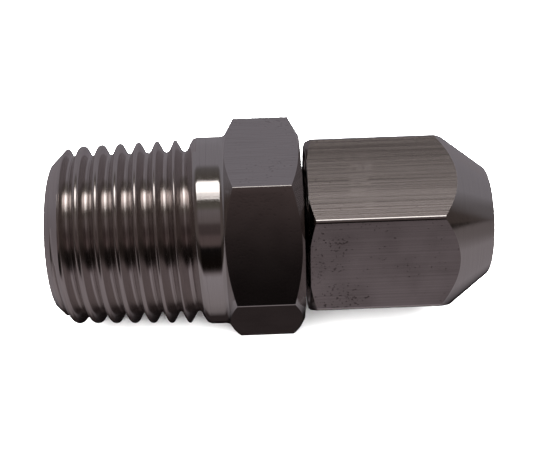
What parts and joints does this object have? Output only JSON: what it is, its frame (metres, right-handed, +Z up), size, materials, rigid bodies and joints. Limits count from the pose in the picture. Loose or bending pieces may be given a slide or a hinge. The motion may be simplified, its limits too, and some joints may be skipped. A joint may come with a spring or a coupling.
{
  "type": "hose fitting",
  "caption": "Straight stainless hose fitting: male taper pipe thread, hexagonal body and a conical clamping nut over a hose spigot.",
  "frame": {"origin": "on the axis of the fitting, halfway between the end of the pipe thread and the end of the nut's nose", "axes": "+X along the axis from the pipe thread to the hose end, +Z up from the hexagon flat that the fitting lies on"},
  "size_m": [0.031, 0.0162, 0.014],
  "materials": {
    "stainless_steel": "turned and drawn bare stainless steel"
  },
  "bodies": {
    "body": {"fitting_body": "stainless_steel"},
    "nut": {"hose_nut": "stainless_steel"}
  },
  "joints": [
    {"name": "nut_screw", "type": "slide", "parent": "body", "child": "nut", "axis": [1, 0, 0], "range_m": [-0.00035, 0.0135]}
  ]
}
